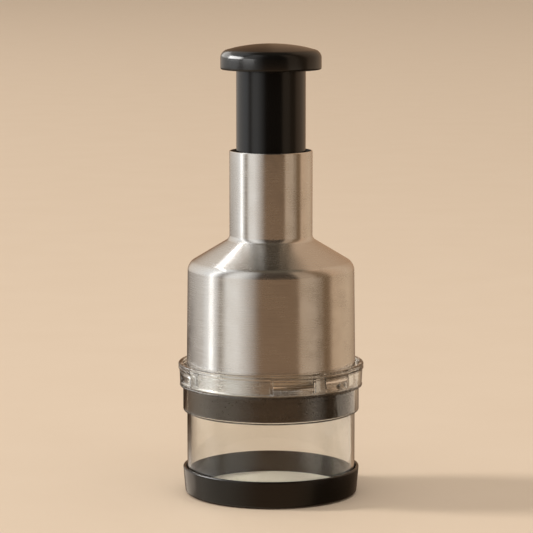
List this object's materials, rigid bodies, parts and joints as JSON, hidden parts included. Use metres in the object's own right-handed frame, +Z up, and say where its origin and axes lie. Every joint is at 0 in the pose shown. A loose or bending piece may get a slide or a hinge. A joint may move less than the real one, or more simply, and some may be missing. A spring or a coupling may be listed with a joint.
{
  "type": "garlic chopper",
  "caption": "Push-down garlic chopper with a brushed steel housing, clear chamber, black base cup and a sprung palm knob that drives turning zigzag blades.",
  "frame": {"origin": "on the table, under the middle of the round base", "axes": "+Z up along the plunger's axis, -Y towards the front, +X to the right seen from the front"},
  "size_m": [0.0908, 0.0906, 0.2202],
  "materials": {
    "black_plastic": "satin",
    "inner_plastic": "matte",
    "board_plastic": "matte",
    "foot_rubber": "matte",
    "clear_plastic": "clear, polished",
    "brushed_shell": "brushed round the axis",
    "bright_steel": "bright",
    "plated_steel": "plated",
    "blade_steel": "ground",
    "cam_plastic": "smooth"
  },
  "bodies": {
    "base": {"base_cup": "black_plastic", "cutting_board": "board_plastic", "foot_ring": "foot_rubber"},
    "chamber": {"chamber": "clear_plastic"},
    "housing": {"steel_shell": "brushed_shell", "bayonet_studs": "bright_steel", "neck_bush": "black_plastic", "inner_frame": "inner_plastic", "cam_sleeve": "cam_plastic", "frame_screws": "plated_steel", "return_spring": "plated_steel"},
    "plunger": {"push_knob": "black_plastic", "plunger_tube": "black_plastic", "plunger_shaft": "bright_steel", "shaft_nut": "bright_steel", "spring_washer": "plated_steel", "shaft_washer": "bright_steel", "shaft_screw": "bright_steel"},
    "blade_head": {"blade_carrier": "inner_plastic", "blade_strip": "blade_steel", "cam_pins": "bright_steel"},
    "guard": {"blade_guard": "inner_plastic"}
  },
  "joints": [
    {"name": "chamber_lift", "type": "slide", "parent": "base", "child": "chamber", "axis": [0, 0, 1], "range_m": [0, 0.03]},
    {"name": "housing_turn", "type": "hinge", "parent": "chamber", "child": "housing", "pos_m": [0, 0, 0.0545], "axis": [0, 0, -1], "range_deg": [0, 20]},
    {"name": "plunger_press", "type": "slide", "parent": "housing", "child": "plunger", "axis": [0, 0, -1], "range_m": [0, 0.0385], "stiffness_N_per_m": 350, "springref_m": -0.03, "deforming": ["return_spring"]},
    {"name": "blade_turn", "type": "hinge", "parent": "plunger", "child": "blade_head", "pos_m": [0, 0, 0.085], "axis": [0, 0, 1], "range_deg": [0, 60]},
    {"name": "guard_turn", "type": "hinge", "parent": "housing", "child": "guard", "pos_m": [0, 0, 0.042], "axis": [0, 0, 1], "range_deg": [0, 60]}
  ],
  "couplings": [
    {"joint": "blade_turn", "follows": "plunger_press", "rad_per_m": 27.19},
    {"joint": "guard_turn", "follows": "plunger_press", "rad_per_m": 27.19}
  ]
}
